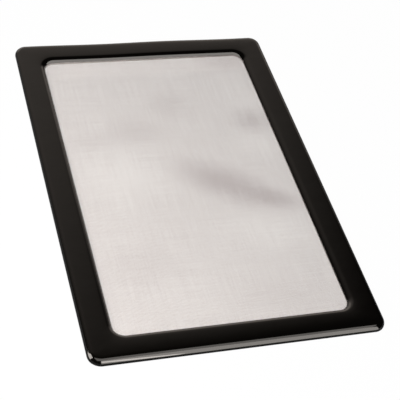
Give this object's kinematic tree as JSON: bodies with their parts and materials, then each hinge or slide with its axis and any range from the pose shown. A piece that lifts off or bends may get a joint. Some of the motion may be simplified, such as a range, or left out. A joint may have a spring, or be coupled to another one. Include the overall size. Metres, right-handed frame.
{
  "type": "fan dust filter",
  "caption": "Flat rectangular dust filter: a rounded flexible magnetic frame around a fine woven mesh, to cover a fan's air intake.",
  "frame": {"origin": "centre of the flat back, on the surface that the filter lies on", "axes": "+Z out of the front face, +X across the short side, +Y along the long side"},
  "size_m": [0.122, 0.185, 0.0027],
  "materials": {
    "moulded_vinyl": "glossy soft moulded vinyl, near black",
    "vinyl_film": "satin vinyl film, black",
    "woven_mesh": "fine plain weave of pale grey-beige plastic thread",
    "magnet_rubber": "matt dark brown magnetic rubber"
  },
  "bodies": {
    "root": {"front_cover": "moulded_vinyl", "back_cover": "vinyl_film", "filter_mesh": "woven_mesh", "magnet_strip_left": "magnet_rubber", "magnet_strip_right": "magnet_rubber", "magnet_strip_front": "magnet_rubber", "magnet_strip_back": "magnet_rubber"}
  },
  "joints": []
}
